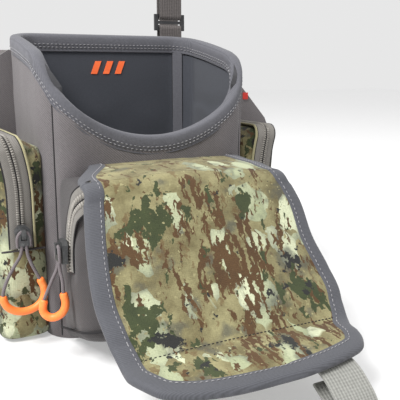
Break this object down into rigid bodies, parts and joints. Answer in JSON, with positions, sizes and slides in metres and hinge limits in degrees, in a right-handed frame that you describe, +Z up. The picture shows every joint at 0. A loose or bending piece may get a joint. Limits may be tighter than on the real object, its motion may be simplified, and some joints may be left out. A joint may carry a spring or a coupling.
{
  "type": "binocular harness pack",
  "caption": "Chest harness pouch for binoculars: open padded compartment with a forward-folding padded lid, zipped side and front pockets, webbing shoulder and side straps and a back yoke.",
  "frame": {"origin": "centre of the underside of the main compartment's base", "axes": "+Z up, +Y towards the wearer's chest, +X to the right seen from the front pocket's side"},
  "size_m": [0.3352, 0.3996, 0.311],
  "materials": {
    "shell_fabric": "grey woven nylon, twill face, slightly worn",
    "camo_fabric": "printed camouflage, brushed face",
    "binding_tape": "grosgrain binding, matt",
    "lining_fabric": "smooth tricot lining",
    "mesh_fabric": "open spacer mesh",
    "webbing": "ribbed webbing",
    "loop_webbing": "ribbed webbing, lighter grey",
    "closed_cell_foam": "closed-cell foam sheet",
    "stiffener": "sheet plastic",
    "hardware": "moulded acetal, fine texture",
    "zip_tape": "woven zip tape",
    "zip_coil": "nylon coil",
    "slider_metal": "dark satin paint",
    "pull_cord": "braided cord",
    "orange_rubber": "soft moulded rubber",
    "magnet": "plated",
    "tag_fabric": "woven tag"
  },
  "bodies": {
    "pack": {"front_panel": "shell_fabric", "back_panel": "shell_fabric", "left_side_panel": "shell_fabric", "right_side_panel": "shell_fabric", "base_panel": "shell_fabric", "wall_foam": "closed_cell_foam", "base_board": "stiffener", "back_magnets": "magnet", "lining": "lining_fabric", "rim_band": "binding_tape", "back_pad": "mesh_fabric", "left_wing": "shell_fabric", "right_wing": "shell_fabric", "edge_tag": "tag_fabric", "inner_mark": "orange_rubber", "left_pocket": "camo_fabric", "right_pocket": "camo_fabric", "front_pocket": "shell_fabric", "left_zip_tape": "zip_tape", "left_zip_coil": "zip_coil", "right_zip_tape": "zip_tape", "right_zip_coil": "zip_coil", "front_zip_tape": "zip_tape", "front_zip_coil": "zip_coil", "yoke_pad": "shell_fabric", "left_tab": "webbing", "left_ladder_lock": "hardware", "left_shoulder_strap": "webbing", "left_side_strap": "webbing", "left_yoke_strap": "webbing", "left_buckle_socket": "hardware", "right_tab": "webbing", "right_ladder_lock": "hardware", "right_shoulder_strap": "webbing", "right_side_strap": "webbing", "right_yoke_strap": "webbing", "right_buckle_socket": "hardware"},
    "lid_bridge": {"lid_bridge": "camo_fabric"},
    "lid_panel": {"lid_cover": "camo_fabric", "lid_stiffener": "closed_cell_foam", "lid_binding": "binding_tape"},
    "lid_lip": {"lip_cover": "camo_fabric", "lip_binding": "binding_tape", "lip_magnets": "magnet", "pull_loop": "loop_webbing"},
    "left_buckle_plug": {"left_buckle_plug": "hardware"},
    "right_buckle_plug": {"right_buckle_plug": "hardware"},
    "left_slider": {"left_slider": "slider_metal"},
    "left_pull": {"left_puller": "slider_metal", "left_pull_cord": "pull_cord", "left_pull_sleeve": "orange_rubber"},
    "right_slider": {"right_slider": "slider_metal"},
    "right_pull": {"right_puller": "slider_metal", "right_pull_cord": "pull_cord", "right_pull_sleeve": "orange_rubber"},
    "front_slider": {"front_slider": "slider_metal"},
    "front_pull": {"front_puller": "slider_metal", "front_pull_cord": "pull_cord", "front_pull_sleeve": "orange_rubber"}
  },
  "joints": [
    {"name": "lid_hinge", "type": "hinge", "parent": "pack", "child": "lid_bridge", "pos_m": [0, -0.0545, 0.1175], "axis": [-1, 0, 0], "range_deg": [0, 90]},
    {"name": "lid_fold", "type": "hinge", "parent": "lid_bridge", "child": "lid_panel", "pos_m": [0, -0.1165, 0.1175], "axis": [-1, 0, 0], "range_deg": [0, 115]},
    {"name": "lip_crease", "type": "hinge", "parent": "lid_panel", "child": "lid_lip", "pos_m": [0, -0.16823, 0.03309], "axis": [-1, 0, 0], "range_deg": [0, 20]},
    {"name": "left_zip", "type": "slide", "parent": "pack", "child": "left_slider", "axis": [0, 0, 1], "range_m": [0, 0.03]},
    {"name": "right_zip", "type": "slide", "parent": "pack", "child": "right_slider", "axis": [0, 0, 1], "range_m": [0, 0.03]},
    {"name": "front_zip", "type": "hinge", "parent": "pack", "child": "front_slider", "pos_m": [-0.075, -0.1303, 0.066], "axis": [1, 0, 0], "range_deg": [0, 34]},
    {"name": "left_pull_swing", "type": "hinge", "parent": "left_slider", "child": "left_pull", "pos_m": [-0.093, -0.0481, 0.0765], "axis": [-1, 0, 0], "range_deg": [0, 25]},
    {"name": "right_pull_swing", "type": "hinge", "parent": "right_slider", "child": "right_pull", "pos_m": [0.093, -0.0481, 0.0765], "axis": [-1, 0, 0], "range_deg": [0, 60]},
    {"name": "front_pull_swing", "type": "hinge", "parent": "front_slider", "child": "front_pull", "pos_m": [-0.0801, -0.08122, 0.07396], "axis": [0, 1, 0], "range_deg": [0, 60]},
    {"name": "left_buckle_release", "type": "slide", "parent": "pack", "child": "left_buckle_plug", "axis": [0, 1, 0], "range_m": [0, 0.022]},
    {"name": "right_buckle_release", "type": "slide", "parent": "pack", "child": "right_buckle_plug", "axis": [0, 1, 0], "range_m": [0, 0.022]}
  ]
}
